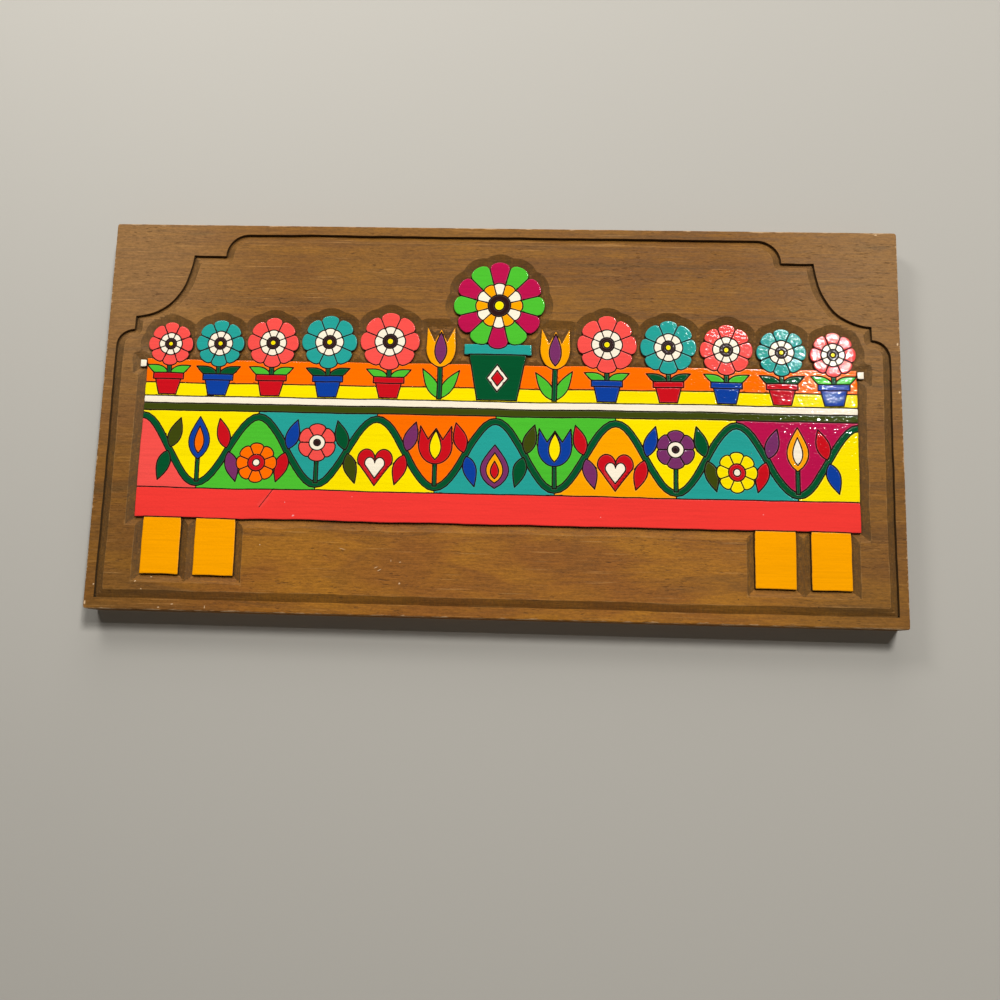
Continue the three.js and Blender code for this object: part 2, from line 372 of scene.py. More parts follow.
def lower_motif(x, kind, left):
    """What stands on the bar in a bay that opens downwards."""
    foot = BAND_BASE + 3.4
    if kind == 0:
        for enamel, length, width, lift in (("purple", 25, 16, 0), ("amber", 17.5, 9.5, 3), ("red", 10, 4.6, 5.5)):
            paint(enamel, placed(leaf(length, width), x, foot + lift))
    elif kind == 2:
        paint("red", placed(heart(20, 21), x, foot))
        paint("cream", placed(heart(11.5, 12), x, foot + 4.2))
    else:
        daisy(x, foot + 12, 11.5, 8, ("orange" if left else "yellow", "red", "cream"))


for bay in range(1 - WAVES, WAVES):
    (upper_motif if bay % 2 else lower_motif)(bay * PERIOD / 2, abs(bay), bay < 0)

paint("vermilion", rectangle(-BENCH_HALF, BAR_BASE, BENCH_HALF, BAND_BASE))
for inner, outer in FEET:
    paint("amber", rectangle(inner, FOOT_BASE, outer, BAR_BASE))
    paint("amber", rectangle(-outer, FOOT_BASE, -inner, BAR_BASE))
print(len(picture), "painted shapes, one over another")

# %% [markdown]
# ## From layers to one flat sheet
#
# The real relief has no layers: each colour is a field of its own, with a cut line round it. So
# the layers have to be resolved into what still shows. Boolean modifiers would do it pair by
# pair, slowly. A constrained Delaunay triangulation does it in one call: it takes all the
# outlines at once and tells, for each small triangle, which of the shapes it lies in. The last
# of them is the one on top.

# %% Resolve the layers
STEP = 2.5
WELD = 1e-4


def stepped(outline, step=STEP):
    """The same outline with no two points further apart than a step."""
    points = []
    for a, b in zip(outline, outline[1:] + outline[:1]):
        count = max(1, ceil(dist(a, b) / step))
        points += [(a[0] + (b[0] - a[0]) * i / count, a[1] + (b[1] - a[1]) * i / count) for i in range(count)]
    return points


def anticlockwise(points):
    turns = sum(a[0] * b[1] - b[0] * a[1] for a, b in zip(points, points[1:] + points[:1]))
    return points if turns > 0 else points[::-1]


corners, loops = [], []
for _, outline in picture:
    points = anticlockwise(stepped(outline))
    loops.append(list(range(len(corners), len(corners) + len(points))))
    corners += [Vector(p) for p in points]
spots, _, patches, _, _, sources = delaunay_2d_cdt(corners, [], loops, 1, WELD)
patches = [patch for patch, layers in zip(patches, sources) if layers]
tops = [max(layers) for layers in sources if layers]
print(len(patches), "triangles show", len(set(tops)), "shapes")

# %% [markdown]
# ## The hand
#
# A knife guided by hand wanders a little. Rather than shake each outline by itself, which would
# open gaps, we bend the whole sheet by a smooth noise of a few tenths of a millimetre. Lines
# that met before still meet.

# %% Bend the sheet by hand
def by_hand(x, y):
    """Where the hand cuts when it aims at a point: a slow wander and a small quick one."""
    slow = noise.noise_vector(Vector((x / 45, y / 45, 1.7)))
    quick = noise.noise_vector(Vector((x / 9, y / 9, 5.2)))
    return Vector((x + 0.5 * slow.x + 0.22 * quick.x, y + 0.5 * slow.y + 0.22 * quick.y))


spots = [by_hand(*spot) for spot in spots]
shift = max((spot - Vector(corner)).length for spot, corner in zip(spots[:4], corners[:4]))
print(f"the first corners moved by up to {shift:.2f} mm")

# %% [markdown]
# ## The lines that show
#
# An edge between two triangles of different shapes is a cut line between two colours. An edge
# with a triangle on one side only is the rim of the relief, where the carver cut down to the
# ground.

# %% Find the cut lines and the rim
owners = defaultdict(list)
for patch, top in zip(patches, tops):
    for a, b in zip(patch, patch[1:] + patch[:1]):
        owners[min(a, b), max(a, b)].append(top)
cut_lines = [edge for edge, shapes in owners.items() if len(shapes) == 2 and shapes[0] != shapes[1]]
rim_lines = [edge for edge, shapes in owners.items() if len(shapes) == 1]
cut_length = sum((spots[a] - spots[b]).length for a, b in cut_lines)
print(f"{cut_length / 1000:.1f} m of lines to cut between the colours")

# %% [markdown]
# ## Distances
#
# The depth of the carving at a point depends on how far it lies from the nearest line: a cut
# line is a narrow V, and the rim a small round. To ask for that distance often and fast, each
# line is stood up as a little wall in a bounding volume tree, and the tree gives the nearest
# wall. A second kind of tree, of the flat triangles, tells what lies at a point.

# %% Trees for distance and place
def fence(points, lines):
    """A tree that gives the distance from a point to the nearest of these lines."""
    posts, panels = [], []
    for a, b in lines:
        (ax, ay), (bx, by) = points[a], points[b]
        panels.append([len(posts) + i for i in range(4)])
        posts += [(ax, ay, -1), (bx, by, -1), (bx, by, 1), (ax, ay, 1)]
    return BVHTree.FromPolygons(posts, panels)


def away_from(tree, point):
    return tree.find_nearest((point[0], point[1], 0))[3]


def under(tree, point):
    """The index of the flat triangle at a point, or None beside them all."""
    return tree.ray_cast((point[0], point[1], 1), (0, 0, -1))[2]


cut_fence = fence(spots, cut_lines)
rim_fence = fence(spots, rim_lines)
floor_map = BVHTree.FromPolygons([(x, y, 0) for x, y in spots], patches)
print("the middle of the bar is", picture[tops[under(floor_map, (0, 61))]][0])

# %% [markdown]
# ## Rows of points beside a line
#
# A V needs points along its bottom and along both of its lips, so rows of points are set beside
# each line. At a corner the row's point lies on the corner's own bisector, further out the
# sharper the corner is. A point that turns out to be nearer to another line is dropped.

# %% Points beside lines
def rows_beside(points, lines, reaches, fences):
    """Points at set distances from the lines, on both sides."""
    around = defaultdict(list)
    for a, b in lines:
        around[a].append(b)
        around[b].append(a)
    row = []
    for spot, ends in around.items():
        x, y = points[spot]
        angles = sorted(atan2(points[end][1] - y, points[end][0] - x) for end in ends)
        for i, angle in enumerate(angles):
            gap = (angles[(i + 1) % len(angles)] - angle) % (2 * pi) or 2 * pi
            spread = [gap / 2] if gap < 1.1 * pi else [pi / 2, gap / 2, gap - pi / 2]
            for reach in reaches:
                for bearing in spread:
                    way = angle + bearing
                    stretch = 1 / max(sin(gap / 2), 0.2) if bearing == gap / 2 else 1
                    point = (x + reach * stretch * cos(way), y + reach * stretch * sin(way))
                    if min(away_from(tree, point) for tree in fences) > 0.92 * reach:
                        row.append(point)
    return row


LIP = 0.24
ROUND = 0.45
FLAT = 0.75
SETTLED = 1.3
lip_rows = rows_beside(spots, cut_lines + rim_lines, (LIP, ROUND, FLAT, SETTLED), [cut_fence, rim_fence])
print(len(lip_rows), "points beside the lines")

# %% [markdown]
# ## A scratch
#
# A knife once slipped on the long red bar and left a fine slanting scratch. It is a short line of
# its own, thinner than the cut lines, so it gets its own tree and its own narrow rows.

# %% The scratch on the bar
SCRATCH_TOP = (-125.8, 69.0)
SCRATCH_FOOT = (-132.5, 59.5)
SCRATCH_LIP = 0.16

scratch_points = [Vector(p) for p in stepped([SCRATCH_TOP, SCRATCH_FOOT], 1.5)]
scratch_points = scratch_points[:len(scratch_points) // 2 + 1]
scratch_lines = [(i, i + 1) for i in range(len(scratch_points) - 1)]
scratch_fence = fence(scratch_points, scratch_lines)
scratch_rows = rows_beside(scratch_points, scratch_lines, (SCRATCH_LIP, 2 * SCRATCH_LIP), [scratch_fence])
print(len(scratch_points), "points along the scratch")

# %% [markdown]
# ## The fine sheet
#
# A second triangulation takes the lines and the rows beside them. The lines are given as fixed
# edges, so no triangle crosses a V's bottom. Each new triangle then asks the first sheet which
# colour it has.

# %% Triangulate the painted sheet
line_ends = sorted({end for line in cut_lines + rim_lines for end in line})
place_of = {old: new for new, old in enumerate(line_ends)}
fine_points = [spots[i] for i in line_ends] + scratch_points + [Vector(p) for p in lip_rows + scratch_rows]
fine_lines = [(place_of[a], place_of[b]) for a, b in cut_lines + rim_lines]
fine_lines += [(len(line_ends) + a, len(line_ends) + b) for a, b in scratch_lines]
fine_spots, _, fine_patches, *_ = delaunay_2d_cdt(fine_points, fine_lines, [], 0, WELD)

enamel_patches = defaultdict(list)
for patch in fine_patches:
    middle = (fine_spots[patch[0]] + fine_spots[patch[1]] + fine_spots[patch[2]]) / 3
    shape = under(floor_map, middle)
    if shape is not None:
        enamel_patches[picture[tops[shape]][0]].append(patch)
print({name: len(found) for name, found in enamel_patches.items()})

# %% [markdown]
# ## How deep the knife goes
#
# The profile across each kind of line is a short list of distances and depths, read off the
# photograph's shadows. A cut line is a V as deep as a thumbnail is thick, the rim of the relief
# is only rounded over, and the scratch barely breaks the paint. Where two lines are near, the
# deeper one holds.

# %% Depth of the painted sheet
PAINT_TOP = -0.02
CUT_PROFILE = ((0, LIP, ROUND, FLAT), (-0.7, -0.04, -0.008, 0))
RIM_PROFILE = ((0, LIP, ROUND, FLAT), (-0.3, -0.05, -0.01, 0))
SCRATCH_PROFILE = ((0, SCRATCH_LIP, 2 * SCRATCH_LIP), (-0.3, -0.03, 0))
BARE_CUT = 0.36
BARE_RIM = 0.05
BARE_SCRATCH = 0.22

cut_away = np.array([away_from(cut_fence, spot) for spot in fine_spots])
rim_away = np.array([away_from(rim_fence, spot) for spot in fine_spots])
scratch_away = np.array([away_from(scratch_fence, spot) for spot in fine_spots])
depths = [np.interp(away, *profile) for away, profile in (
    (cut_away, CUT_PROFILE), (rim_away, RIM_PROFILE), (scratch_away, SCRATCH_PROFILE))]
paint_height = (PAINT_TOP + np.minimum.reduce(depths)).tolist()
paint_reach = np.minimum.reduce([cut_away - BARE_CUT, rim_away - BARE_RIM, scratch_away - BARE_SCRATCH]).tolist()
print(f"the paint lies between {min(paint_height):.2f} and {max(paint_height):.2f} mm from the planed face")

# %% [markdown]
# ## One plate for each field of colour
#
# A field of colour is a group of triangles that share edges. Its triangles are laid out at their
# heights, and its edge is then extruded down into the board and closed below, so that each
# field is a thin solid plate, as a print of the object would need. The fields of one colour make
# one piece, because they were painted from one pot.

# %% Gather triangles into fields
PLATE_FOOT = -1.3


def fields_of(patches):
    """Groups of triangles that hang together by their edges."""
    beside = defaultdict(list)
    for i, patch in enumerate(patches):
        for a, b in zip(patch, patch[1:] + patch[:1]):
            beside[min(a, b), max(a, b)].append(i)
    left, groups = set(range(len(patches))), []
    while left:
        waiting, group = [left.pop()], []
        while waiting:
            i = waiting.pop()
            group.append(patches[i])
            patch = patches[i]
            for a, b in zip(patch, patch[1:] + patch[:1]):
                found = [j for j in beside[min(a, b), max(a, b)] if j in left]
                left.difference_update(found)
                waiting += found
        groups.append(group)
    return groups


# %% Make a plate
NEARLY_DOWN = (0.02, 0.03, -1)


def add_plate(bm, field, inside):
    """One field as a closed plate. The layer `inside` keeps how far a point lies within the paint."""
    verts = {}
    for i in {i for patch in field for i in patch}:
        verts[i] = bm.verts.new((*fine_spots[i], paint_height[i]))
        verts[i][inside] = paint_reach[i]
    faces = [bm.faces.new([verts[i] for i in patch]) for patch in field]
    edge = [e for face in faces for e in face.edges if e.is_boundary]
    walls = bmesh.ops.extrude_edge_only(bm, edges=edge)["geom"]
    feet = {v for v in walls if isinstance(v, bmesh.types.BMVert)}
    # The plate's sides get the dark cut colour, which is painted shade on the relief's upright sides.
    for vert in feet:
        vert.co.z = PLATE_FOOT
        vert[inside] = -1.0
    under_edge = [e for e in walls if isinstance(e, bmesh.types.BMEdge) and feet.issuperset(e.verts)]
    bmesh.ops.triangle_fill(bm, edges=under_edge, use_beauty=False, use_dissolve=False, normal=NEARLY_DOWN)


def open_edges(bm):
    return sum(1 for edge in bm.edges if len(edge.link_faces) != 2)


# %% [markdown]
# ## Finishing a piece
#
# Every piece leaves the bench in the same way: its normals are made to point outwards, it is
# turned up to the wall, shaded smooth with its real edges kept sharp, and set to ride on the
# part's only body. Paint rounds its edges over, so only steep ones stay sharp, while in wood
# even the shallow edge of a slope is crisp.

# %% Finish a piece
ROUNDED = radians(38)
CRISP = radians(15)


def finish_piece(name, bm, material, smoothest):
    gaps = open_edges(bm)
    bmesh.ops.recalc_face_normals(bm, faces=bm.faces)
    bm.transform(FROM_BENCH)
    mesh = bpy.data.meshes.new(name)
    bm.to_mesh(mesh)
    bm.free()
    mesh.shade_smooth()
    mesh.set_sharp_from_angle(angle=smoothest)
    mesh.materials.append(material)
    piece = bpy.data.objects.new(name, mesh)
    bpy.context.scene.collection.objects.link(piece)
    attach(piece, "root")
    print(name, "has", len(mesh.polygons), "faces and", gaps, "open edges")
    return piece


# %% [markdown]
# ## The frame line
#
# The line that frames the face is cut like a picture's moulding: an upright wall on its outer
# side and a slope that rises back to the face on its inner side. At both upper corners it steps
# in with a small round, a scoop and another round, the ogee corner of old panels.

# %% The frame line's outline
SIDE_MARGIN = 5.8
TOP_MARGIN = 5.8
BASE_MARGIN = 6.5
SHOULDER_RADIUS = 10.0
SHOULDER_HEIGHT = 152.9
SCOOP_BASE = 170.8
SCOOP_CORNER = (184.2, 173.2)
SCOOP_END = 180.6
BROW_RADIUS = 13.5
BROW_END = 162.0

frame_side = BOARD_HALF - SIDE_MARGIN
frame_top = BOARD_HEIGHT - TOP_MARGIN
shoulder_middle = frame_side - SHOULDER_RADIUS
brow_height = frame_top - BROW_RADIUS
right_half = [
    (frame_side, BASE_MARGIN),
    *arc(shoulder_middle, SHOULDER_HEIGHT, SHOULDER_RADIUS, SHOULDER_RADIUS, 0, 90, 8),
    *bend((shoulder_middle, SCOOP_BASE), SCOOP_CORNER, (SCOOP_END, brow_height), 20),
    *arc(BROW_END - BROW_RADIUS, brow_height, BROW_RADIUS, BROW_RADIUS, 0, 90, 10),
]
frame_points = [by_hand(*p) for p in stepped(right_half + mirrored(right_half), 2.0)]
frame_lines = [(i, (i + 1) % len(frame_points)) for i in range(len(frame_points))]
frame_fence = fence(frame_points, frame_lines)
corners_flat, _, inside_frame, *_ = delaunay_2d_cdt(frame_points, [], [list(range(len(frame_points)))], 1, WELD)
frame_map = BVHTree.FromPolygons([(x, y, 0) for x, y in corners_flat], inside_frame)
print(len(frame_points), "points along the frame line")

# %% [markdown]
# ## The edge of the board
#
# The board's corners are barely rounded and its edges are eased with sandpaper, then worn by
# handling. Its face outline is drawn four times, from the flat face out to the side, each a
# little lower than the last. The wear eats a few tenths of a millimetre more, here and there,
# most of all on the right, and one knock has left a longer dent in the top edge.

# %% Loops of the eased edge
CORNER_RADIUS = 1.4
EASED = ((1.1, 0.0), (0.55, -0.07), (0.2, -0.3), (0.0, -0.85))
CORNER_STEPS = 6
KNOCK = (217.0, 5.0, 0.7)


def board_loop(inset):
    """The board's outline, set in from its edge, with the dents that handling has left."""
    half, top, base = BOARD_HALF - inset, BOARD_HEIGHT - inset, inset
    radius = CORNER_RADIUS - inset / 2
    knock_place, knock_width, knock_depth = KNOCK
    right = [
        *arc(half - radius, base + radius, radius, radius, -90, 0, CORNER_STEPS),
        *arc(half - radius, top - radius, radius, radius, 0, 90, CORNER_STEPS),
    ]
    points = []
    for x, y in stepped(right + mirrored(right)):
        dent = 0.5 + 0.5 * noise.noise(Vector((x / 7, y / 7, 3.1)))
        dent = 0.06 + (0.5 + 0.25 * x / BOARD_HALF) * dent ** 3
        if y > BOARD_HEIGHT / 2:
            dent += knock_depth * max(0, 1 - ((x - knock_place) / knock_width) ** 2)
        points.append(Vector((x, y)) - dent * Vector((x / BOARD_HALF, 2 * y / BOARD_HEIGHT - 1)))
    return points


print(len(board_loop(0)), "points round the board")

# %% [markdown]
# ## The ground of the relief
#
# Round the relief the carver sank a trough: straight down beside the figures, and sloping back
# up to the face with a flat chisel, so that the figures seem to stand free while the face stays
# whole. Round a bloom the slope follows the petals. Beside straight work the chisel runs past
# the corner, so two slopes meet in a mitre there: the distance to a block is the larger of the
# distances across and up. `sunk` gives the share of the full depth at a point, and the deepest
# of all the slopes holds.

# %% How far the face is sunk
SINK = 2.2
FRAME_SLOPE = 4.6
BLOOM_SLOPE = 4.8
WALL_FOOT = 0.14
ON_LINE = 0.01

blocks = [(-BENCH_HALF, BAR_BASE, BENCH_HALF, RAIL_TOP, 4.9)]
for hand in (-1, 1):
    for inner, outer in FEET:
        left, right = sorted((hand * inner, hand * outer))
        blocks.append((left, FOOT_BASE, right, BAR_BASE, 4.45))
    blocks.append((hand * (BENCH_HALF + KNOB_LENGTH / 2) - KNOB_LENGTH / 2, KNOB_BASE,
                   hand * (BENCH_HALF + KNOB_LENGTH / 2) + KNOB_LENGTH / 2, KNOB_TOP, 4.4))
bloom_lines = [(a, b) for a, b in rim_lines if min(spots[a].y, spots[b].y) > RAIL_TOP - 1]
tulip_tips = [by_hand(hand * TULIP_PLACE + tip, TULIP_BASE + 24) for hand in (-1, 1) for tip in (-8, 8)]
bloom_lines += [(len(spots) + i, len(spots) + i + 1) for i in (0, 2)]
bloom_fence = fence(spots + tulip_tips, bloom_lines)


def unevenness(x, y):
    return noise.noise(Vector((x / 16, y / 16, 8.3)))


def sunk(x, y):
    """The share of the full depth at a point, or None where no slope can be."""
    point = Vector((x, y))
    from_frame = away_from(frame_fence, point)
    if from_frame < ON_LINE or under(frame_map, point) is None or under(floor_map, point) is not None:
        return None
    ax, ay = 2 * point - by_hand(x, y)
    reaches = [(max(left - ax, ax - right, base - ay, ay - top), slope) for left, base, right, top, slope in blocks]
    reaches += [(away_from(bloom_fence, point), BLOOM_SLOPE), (from_frame, FRAME_SLOPE)]
    uneven = 1 + 0.06 * unevenness(x, y)
    return max(1 - (away - WALL_FOOT) / (slope * uneven) for away, slope in reaches)


print("the trough is sunk by", round(sunk(0, FOOT_BASE + 30.0), 2), "of its depth, 2 mm below the bar")

# %% Height of the board's face
GROUND = -1.0


def board_height(x, y):
    if away_from(rim_fence, (x, y)) < ON_LINE or under(floor_map, (x, y)) is not None:
        return GROUND
    planed = -0.05 - 0.05 * noise.noise(Vector((x / 30, y / 22, 0.4)))
    share = min(max(sunk(x, y) or 0, 0), 1)
    return planed - SINK * (1 - 0.06 * unevenness(x, y)) * share


# %% [markdown]
# ## The board's face
#
# The face is triangulated like the paint: the two lines as fixed edges, rows of points along
# them where the slopes are, a finer grid of points on the slopes and a coarse one on the planed
# wood. That first sheet shows where the share falls to nothing. The chisel leaves a crisp edge
# there, so it becomes a third set of fixed edges in a second sheet.

# %% Points of the board's face
SLOPE_ROWS = (WALL_FOOT, 0.6, 1.4, 2.5)
SLOPE_GRID = 1.4
PLANED_GRID = 5.0
SLOPE_REACH = 6.2


def grid_points(spacing):
    """A staggered grid of points inside the board's edge."""
    rows = int((BOARD_HEIGHT - 2 * EASED[0][0]) / spacing)
    columns = int(2 * BOARD_HALF / spacing)
    for row in range(1, rows):
        for column in range(1, columns):
            x = -BOARD_HALF + (column + row % 2 / 2) * spacing
            yield x, row * spacing + EASED[0][0]


rim_ends = sorted({end for line in rim_lines for end in line})
rim_place = {old: new for new, old in enumerate(rim_ends)}
wood_points = [spots[i] for i in rim_ends]
wood_lines = [(rim_place[a], rim_place[b]) for a, b in rim_lines]
for points in [frame_points] + [board_loop(inset) for inset, _ in EASED]:
    start = len(wood_points)
    wood_lines += [(start + i, start + (i + 1) % len(points)) for i in range(len(points))]
    wood_points += points
for hand in (-1, 1):
    between = hand * (FEET[0][1] + FEET[1][0]) / 2
    crest = [by_hand(between, y) for y in np.linspace(FOOT_BASE - 4, BAR_BASE - 4.2, 24)]
    wood_lines += [(len(wood_points) + i, len(wood_points) + i + 1) for i in range(len(crest) - 1)]
    wood_points += crest
rows = rows_beside(spots, rim_lines, SLOPE_ROWS, [rim_fence, frame_fence])
rows += rows_beside(frame_points, frame_lines, SLOPE_ROWS, [rim_fence, frame_fence])
for spacing, reach in ((SLOPE_GRID, (SLOPE_ROWS[-1] + 0.6, SLOPE_REACH)), (PLANED_GRID, (SLOPE_REACH, BOARD_HALF))):
    for point in grid_points(spacing):
        away = min(away_from(rim_fence, point), away_from(frame_fence, point))
        if reach[0] < away < reach[1] and under(floor_map, point) is None:
            rows.append(point)
edge_half, edge_base = BOARD_HALF - EASED[0][0] - 0.3, EASED[0][0] + 0.3
rows = [(x, y) for x, y in rows if abs(x) < edge_half and edge_base < y < BOARD_HEIGHT - edge_base]
wood_points += [Vector(p) for p in rows]

# %% Triangulate, and again with the slopes' edges
def level_line(points, patches, values):
    """The points and lines where a value crosses zero."""
    crossings, places, lines = {}, [], []
    for patch in patches:
        ends = []
        for a, b in zip(patch, patch[1:] + patch[:1]):
            a, b = min(a, b), max(a, b)
            if None in (values[a], values[b]) or (values[a] > 0) == (values[b] > 0):
                continue
            if (a, b) not in crossings:
                crossings[a, b] = len(places)
                places.append(points[a].lerp(points[b], values[a] / (values[a] - values[b])))
            ends.append(crossings[a, b])
        if len(ends) == 2:
            lines.append(ends)
    return places, lines


wood_spots, _, wood_patches, *_ = delaunay_2d_cdt(wood_points, wood_lines, [], 0, WELD)
edge_places, edge_lines = level_line(wood_spots, wood_patches, [sunk(x, y) for x, y in wood_spots])
wood_lines += [(len(wood_points) + a, len(wood_points) + b) for a, b in edge_lines]
wood_points += edge_places
wood_spots, _, wood_patches, *_ = delaunay_2d_cdt(wood_points, wood_lines, [], 0, WELD)
print(len(wood_patches), "triangles on the board's face,", len(edge_lines), "edges along the slopes")

# %% [markdown]
# ## The board
#
# The triangles are given their heights, and layers are kept on the mesh for the finish to read
# later. Each triangle knows whether it is an upright knife cut or a chiselled slope, and how much
# darker the slope is painted: darker where it is cut across the board and lays open end grain,
# which also stands in for painted shade on slopes that lean sideways, and lighter where it looks
# up, a painted brightness of the light that falls on it. The deep flat ground is darkened as a
# slope is. Each point knows how near it is to the board's worn edge, and to the ridge where a
# straight slope meets the face, which is painted paler, as rubbed wood and as a painted highlight.
# Then the face's edge is extruded down twice for the sides and closed with one flat face, and a
# bevel eases the back.

# %% Build the board
SIDE_WEAR_END = -2.6
LEAST_SLOPE = cos(radians(8))
STEEPEST_SLOPE = cos(radians(50))
HIGHEST_GROUND = -0.16
WEAR_REACH = 2.4
RIDGE_REACH = 0.9
BACK_EASE = 0.6

edge_points = board_loop(0)
edge_fence = fence(edge_points, [(i, (i + 1) % len(edge_points)) for i in range(len(edge_points))])
ridge_fence = fence(edge_places, edge_lines)
ease_away, ease_height = zip(*reversed(EASED))

board = bmesh.new()
worn, ridge = [board.verts.layers.float.new(name) for name in ("worn", "ridge")]
slope_stain_and_shading, knife = [board.faces.layers.float.new(name) for name in ("slope_stain_and_shading", "knife")]
for x, y in wood_spots:
    height, from_edge = board_height(x, y), away_from(edge_fence, (x, y))
    vert = board.verts.new((x, y, min(height, float(np.interp(from_edge, ease_away, ease_height)))))
    vert[worn] = max(0, 1 - from_edge / WEAR_REACH)
    # The ridge of a straight slope is painted paler later: rubbed wood and a painted highlight.
    if away_from(bloom_fence, (x, y)) > BLOOM_SLOPE + RIDGE_REACH:
        vert[ridge] = max(0, 1 - away_from(ridge_fence, (x, y)) / RIDGE_REACH)
board.verts.ensure_lookup_table()
for patch in wood_patches:
    face = board.faces.new([board.verts[i] for i in patch])
    face.normal_update()
    if under(frame_map, face.calc_center_median()) is not None:
        # Upright cuts are painted dark, a deeper stain and painted shade. Slopes are painted darker, most where they
        # lean sideways (end grain and painted shade) and least where they face up (painted light).
        face[knife] = float(face.normal.z < STEEPEST_SLOPE)
        if STEEPEST_SLOPE <= face.normal.z < LEAST_SLOPE:
            lean = face.normal.xy.normalized()
            face[slope_stain_and_shading] = max(0.15, 0.6 + 0.35 * abs(lean.x) - 0.8 * max(0, lean.y))
        elif face.calc_center_median().z < HIGHEST_GROUND:
            face[slope_stain_and_shading] = 0.6

edge = [e for e in board.edges if e.is_boundary]
for depth in (SIDE_WEAR_END, -BOARD_DEPTH):
    grown = bmesh.ops.extrude_edge_only(board, edges=edge)["geom"]
    lower = {v for v in grown if isinstance(v, bmesh.types.BMVert)}
    for vert in lower:
        vert.co.z = depth
        vert[worn] = 0
    edge = [e for e in grown if isinstance(e, bmesh.types.BMEdge) and lower.issuperset(e.verts)]
bmesh.ops.contextual_create(board, geom=edge)
bmesh.ops.bevel(board, geom=edge, offset=BACK_EASE, offset_type="OFFSET", segments=2, profile=0.5,
                affect="EDGES", material=-1)
print("board has", len(board.faces), "faces and", open_edges(board), "open edges")

# %% [markdown]
# ## Node helpers
#
# Materials are graphs of nodes. One helper adds a node and fills its inputs with values or with
# other nodes' outputs, others add the few kinds that are used all the time, and one starts a
# group with named sockets, so that a finish reads almost like a recipe.

# %% Add nodes
def put(tree, kind, inputs=None, **settings):
    """A new node with its settings made and its inputs filled or linked."""
    node = tree.nodes.new("ShaderNode" + kind)
    for name, value in settings.items():
        setattr(node, name, value)
    for name, value in (inputs or {}).items():
        if isinstance(value, bpy.types.NodeSocket):
            tree.links.new(value, node.inputs[name])
        else:
            node.inputs[name].default_value = value
    return node


def calc(tree, operation, a, b=0.0, clamp=False):
    return put(tree, "Math", {0: a, 1: b}, operation=operation, use_clamp=clamp).outputs[0]


def spread(tree, value, low, high, to_low=0.0, to_high=1.0):
    """A value's range spread smoothly over another."""
    return put(tree, "MapRange", {"Value": value, "From Min": low, "From Max": high, "To Min": to_low,
                                  "To Max": to_high}, interpolation_type="SMOOTHSTEP").outputs[0]


def blend(tree, share, a, b):
    """Colour a turned into colour b by a share."""
    a, b = [(*c, 1.0) if isinstance(c, tuple) else c for c in (a, b)]
    return put(tree, "Mix", {0: share, 6: a, 7: b}, data_type="RGBA").outputs[2]


def layer(tree, name):
    """A value that was painted on the mesh's points."""
    return put(tree, "Attribute", attribute_name=name).outputs["Fac"]


# %% Noise along the board, and groups
def long_noise(tree, along, across, detail=3.0, roughness=0.55, vector=None):
    """Noise stretched along the board, with its sizes in millimetres."""
    place = vector or put(tree, "TexCoord").outputs["Object"]
    sizes = (1 / (along * MM), 1 / (across * MM), 1 / (across * MM))
    stretched = put(tree, "Mapping", {"Vector": place, "Scale": sizes}).outputs[0]
    return put(tree, "TexNoise", {"Vector": stretched, "Scale": 1.0, "Detail": detail,
                                  "Roughness": roughness}).outputs[0]


def new_group(name, inputs, outputs):
    """A node group, its input sockets and a function that fills its outputs."""
    group = bpy.data.node_groups.new(name, "ShaderNodeTree")
    for label, kind in inputs.items():
        group.interface.new_socket(name=label, in_out="INPUT", socket_type="NodeSocket" + kind)
    for label in outputs:
        group.interface.new_socket(name=label, in_out="OUTPUT", socket_type="NodeSocketFloat")
    given, result = group.nodes.new("NodeGroupInput"), group.nodes.new("NodeGroupOutput")

    def fill(**sockets):
        for label, socket in sockets.items():
            group.links.new(socket, result.inputs[label])
    return group, given.outputs, fill


def use(tree, group, inputs=None):
    return put(tree, "Group", inputs, node_tree=group).outputs


# %% [markdown]
# ## Wood grain
#
# The board is sawn along the trunk. Its growth rings are shells round the tree's heart, which
# lay behind the board and near its lower edge: low on the face the rings are wide and calm, and
# higher up they are narrow. Because the pattern is solid, the ends of the board show the same
# rings as arcs. Fine fibres, short dark pores and a few pale lines run along the trunk too.

# %% Group: grain
HEART = (0.0, -70.0, 165.0)
RING_WIDTH = 3.4

grain, _, fill = new_group("grain", {}, ("Rings", "Fibres", "Speckle", "Pores", "Pale", "Blotches"))
place = put(grain, "TexCoord").outputs["Object"]
from_heart = put(grain, "VectorMath", {0: place, 1: tuple(c * MM for c in HEART)}, operation="ADD").outputs[0]
shell = put(grain, "VectorMath", {0: from_heart, 1: (0, 1, 1)}, operation="MULTIPLY").outputs[0]
radius = put(grain, "VectorMath", {0: shell}, operation="LENGTH").outputs["Value"]
wander = calc(grain, "MULTIPLY", long_noise(grain, 230, 40, 2), 16 * MM)
ring_place = put(grain, "CombineXYZ", {
    0: calc(grain, "MULTIPLY", put(grain, "SeparateXYZ", {0: place}).outputs[0], RING_WIDTH / 300),
    1: calc(grain, "ADD", radius, wander)}).outputs[0]
rings = long_noise(grain, RING_WIDTH, RING_WIDTH, 4, 0.68, ring_place)
pore_dashes = spread(grain, long_noise(grain, 4.5, 0.7, 2, 0.5), 0.61, 0.72)
pore_fields = spread(grain, long_noise(grain, 45, 12, 2, 0.5), 0.4, 0.6)
pale_lines = spread(grain, long_noise(grain, 40, 0.9, 1, 0.5), 0.64, 0.75)
